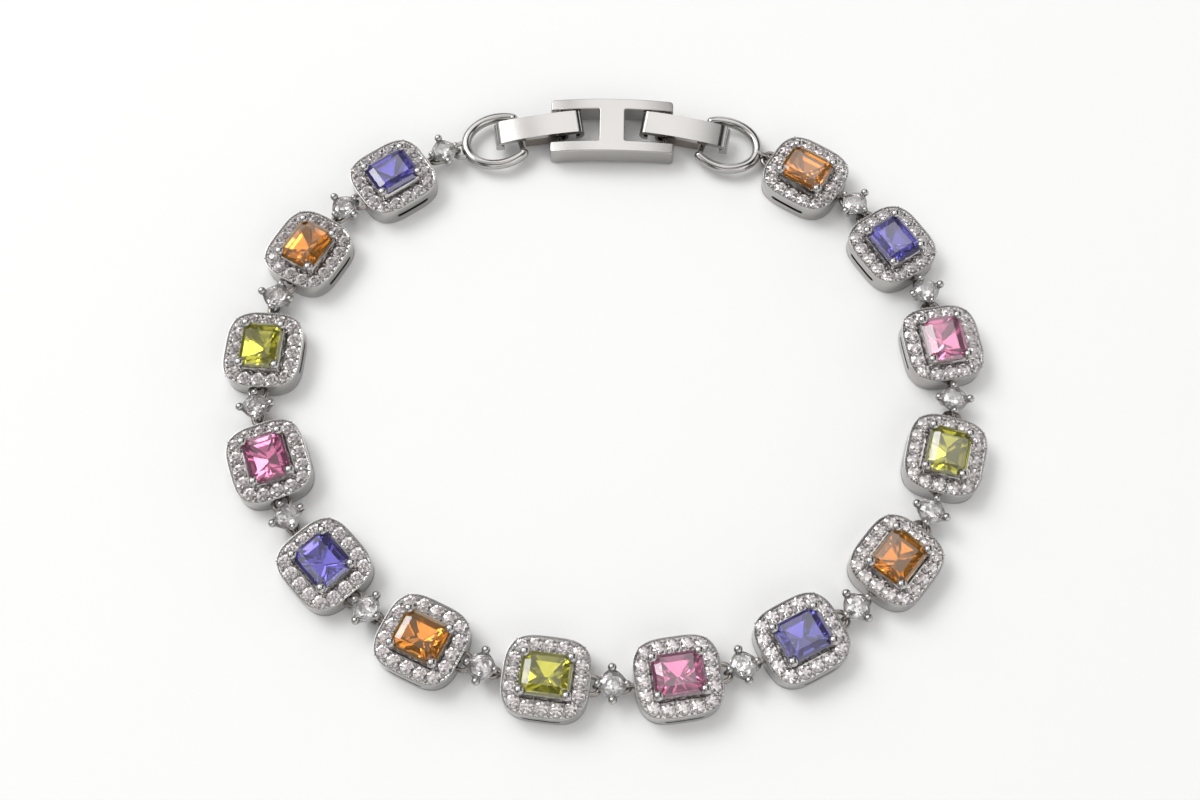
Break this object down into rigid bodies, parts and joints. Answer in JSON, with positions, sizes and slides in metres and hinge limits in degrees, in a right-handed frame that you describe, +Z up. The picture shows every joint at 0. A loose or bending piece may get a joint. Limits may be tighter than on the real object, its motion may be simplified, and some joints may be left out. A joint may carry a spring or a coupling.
{
  "type": "tennis bracelet",
  "caption": "Closed link bracelet of cushion halo settings with coloured radiant cut stones, round white spacers and a double fold over clasp with two levers.",
  "frame": {"origin": "middle of the closed bracelet on the table it lies on", "axes": "+Z up out of the table, the stones face +Z; +Y towards the clasp; +X to the right, along the length of the clasp"},
  "size_m": [0.0678, 0.0594, 0.0036],
  "materials": {
    "setting_metal": "polished",
    "spacer_metal": "polished",
    "clasp_metal": "polished",
    "stone_blue": "faceted",
    "stone_orange": "faceted",
    "stone_green": "faceted",
    "stone_pink": "faceted"
  },
  "bodies": {
    "string": {"clasp_frame": "clasp_metal", "clasp_ring_left": "clasp_metal", "spacer_01": "spacer_metal", "halo_01": "setting_metal", "stone_01": "stone_blue", "spacer_02": "spacer_metal", "halo_02": "setting_metal", "stone_02": "stone_orange", "spacer_03": "spacer_metal", "halo_03": "setting_metal", "stone_03": "stone_green", "spacer_04": "spacer_metal", "halo_04": "setting_metal", "stone_04": "stone_pink", "spacer_05": "spacer_metal", "halo_05": "setting_metal", "stone_05": "stone_blue", "spacer_06": "spacer_metal", "halo_06": "setting_metal", "stone_06": "stone_orange", "spacer_07": "spacer_metal", "halo_07": "setting_metal", "stone_07": "stone_green", "spacer_08": "spacer_metal", "halo_08": "setting_metal", "stone_08": "stone_pink", "spacer_09": "spacer_metal", "halo_09": "setting_metal", "stone_09": "stone_blue", "spacer_10": "spacer_metal", "halo_10": "setting_metal", "stone_10": "stone_orange", "spacer_11": "spacer_metal", "halo_11": "setting_metal", "stone_11": "stone_green", "spacer_12": "spacer_metal", "halo_12": "setting_metal", "stone_12": "stone_pink", "spacer_13": "spacer_metal", "halo_13": "setting_metal", "stone_13": "stone_blue", "spacer_14": "spacer_metal", "halo_14": "setting_metal", "stone_14": "stone_orange", "clasp_ring_right": "clasp_metal"},
    "lever_left": {"clasp_lever_left": "clasp_metal"},
    "lever_right": {"clasp_lever_right": "clasp_metal"}
  },
  "joints": [
    {"name": "lever_left_hinge", "type": "hinge", "parent": "string", "child": "lever_left", "pos_m": [-0.0042, 0.02682, 0.00135], "axis": [-0.1421, 0.9899, 0], "range_deg": [0, 100]},
    {"name": "lever_right_hinge", "type": "hinge", "parent": "string", "child": "lever_right", "pos_m": [0.0058, 0.02665, 0.00135], "axis": [-0.1842, -0.9829, 0], "range_deg": [0, 100]}
  ]
}
